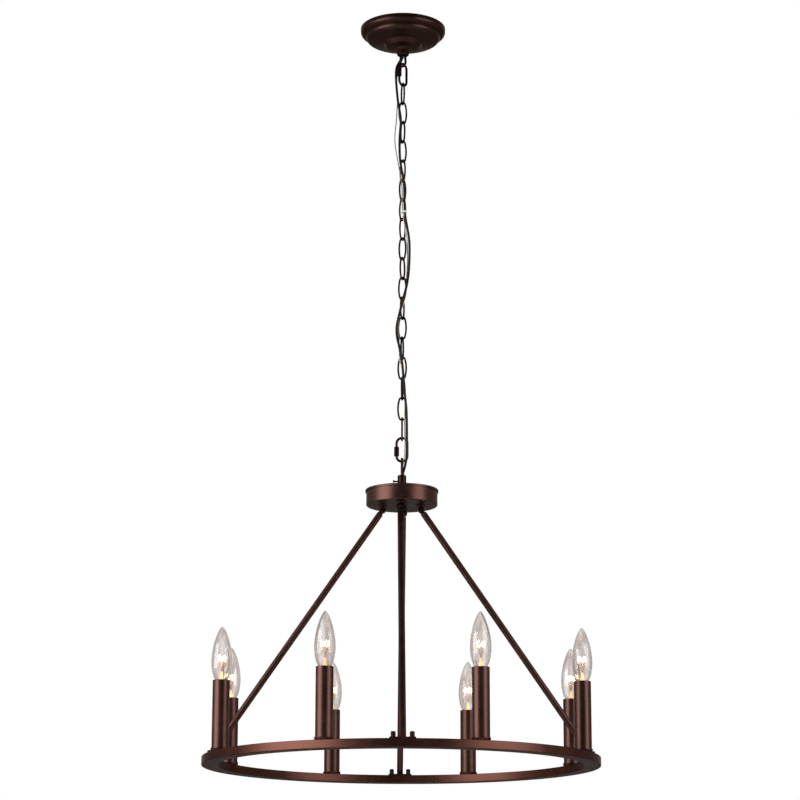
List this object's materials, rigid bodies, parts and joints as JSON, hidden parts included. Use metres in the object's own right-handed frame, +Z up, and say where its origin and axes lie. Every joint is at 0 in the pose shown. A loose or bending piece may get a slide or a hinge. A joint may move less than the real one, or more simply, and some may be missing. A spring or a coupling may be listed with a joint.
{
  "type": "wagon wheel chandelier",
  "caption": "Ring chandelier: candle lights on a hollow metal ring, carried by slanted rods from a round hub that hangs on a chain from a ceiling canopy.",
  "frame": {"origin": "centre of the canopy rim, in the plane of the ceiling", "axes": "+Z up, out of the fitting into the ceiling; +X to the right and -Y towards the viewer of the front"},
  "size_m": [0.6099, 0.61, 1.2073],
  "materials": {
    "bronze": "satin oil-rubbed bronze",
    "bronze_wire": "dark satin bronze",
    "zinc": "zinc plated",
    "green_paint": "green",
    "cord_jacket": "dark brown jacket",
    "clear_jacket": "clear jacket over copper",
    "socket_plastic": "ivory phenolic",
    "glass": "clear glass",
    "nickel": "nickel plated"
  },
  "bodies": {
    "ceiling": {"canopy": "bronze", "crossbar": "zinc", "ground_screw": "green_paint", "ceiling_nipple": "zinc", "crossbar_locknut": "zinc", "canopy_collar": "bronze"},
    "canopy_loop": {"canopy_loop": "bronze"},
    "upper_quick_link": {"upper_quick_link": "bronze_wire", "power_cord_canopy_end": "cord_jacket", "ground_wire_canopy_end": "clear_jacket"},
    "upper_link_nut": {"upper_link_nut": "bronze_wire"},
    "chain": {"chain_links": "bronze_wire", "power_cord_upper_run": "cord_jacket", "power_cord_lower_run": "cord_jacket", "ground_wire_upper_run": "clear_jacket", "ground_wire_lower_run": "clear_jacket", "cord_tie": "clear_jacket"},
    "lower_quick_link": {"lower_quick_link": "bronze_wire", "power_cord_hub_end": "cord_jacket", "ground_wire_hub_end": "clear_jacket"},
    "lower_link_nut": {"lower_link_nut": "bronze_wire"},
    "fixture": {"hub_loop": "bronze", "hub_lock_screw": "bronze_wire", "hub_lid": "bronze", "hub_cup": "bronze", "hub_nipple": "zinc", "hub_nipple_nut": "zinc", "swivel_knuckles": "bronze", "swivel_nuts": "zinc", "swivel_pins": "bronze_wire", "rod_front": "bronze", "rod_right": "bronze", "rod_rear": "bronze", "rod_left": "bronze", "foot_nuts": "bronze_wire", "ring": "bronze", "candle_cups": "bronze", "candle_stems": "zinc", "stem_nuts": "zinc", "candle_sockets": "socket_plastic", "candle_sleeves": "bronze", "bulb_bases": "nickel", "bulb_glasses": "glass"}
  },
  "joints": [
    {"name": "canopy_loop_turn", "type": "hinge", "parent": "ceiling", "child": "canopy_loop", "pos_m": [0, 0, -0.0465], "axis": [0, 0, 1], "range_deg": [-180, 180]},
    {"name": "upper_link_swing", "type": "hinge", "parent": "canopy_loop", "child": "upper_quick_link", "pos_m": [0, 0, -0.0652], "axis": [-0.7193, 0.6947, 0], "range_deg": [-30, 30], "deforming": ["power_cord_canopy_end", "ground_wire_canopy_end"]},
    {"name": "chain_swing", "type": "hinge", "parent": "upper_quick_link", "child": "chain", "pos_m": [0, 0, -0.0989], "axis": [0.6947, 0.7193, 0], "range_deg": [-30, 30], "deforming": ["power_cord_upper_run", "ground_wire_upper_run"]},
    {"name": "lower_link_swing", "type": "hinge", "parent": "chain", "child": "lower_quick_link", "pos_m": [0, 0, -0.6951], "axis": [0, 1, 0], "range_deg": [-30, 30], "deforming": ["power_cord_lower_run", "ground_wire_lower_run"]},
    {"name": "fixture_swing", "type": "hinge", "parent": "lower_quick_link", "child": "fixture", "pos_m": [0, 0, -0.7293], "axis": [1, 0, 0], "range_deg": [-30, 30], "deforming": ["power_cord_hub_end", "ground_wire_hub_end"]},
    {"name": "upper_link_nut_slide", "type": "slide", "parent": "upper_quick_link", "child": "upper_link_nut", "axis": [0, 0, -1], "range_m": [0, 0.005]},
    {"name": "lower_link_nut_slide", "type": "slide", "parent": "lower_quick_link", "child": "lower_link_nut", "axis": [0, 0, 1], "range_m": [0, 0.005]}
  ]
}
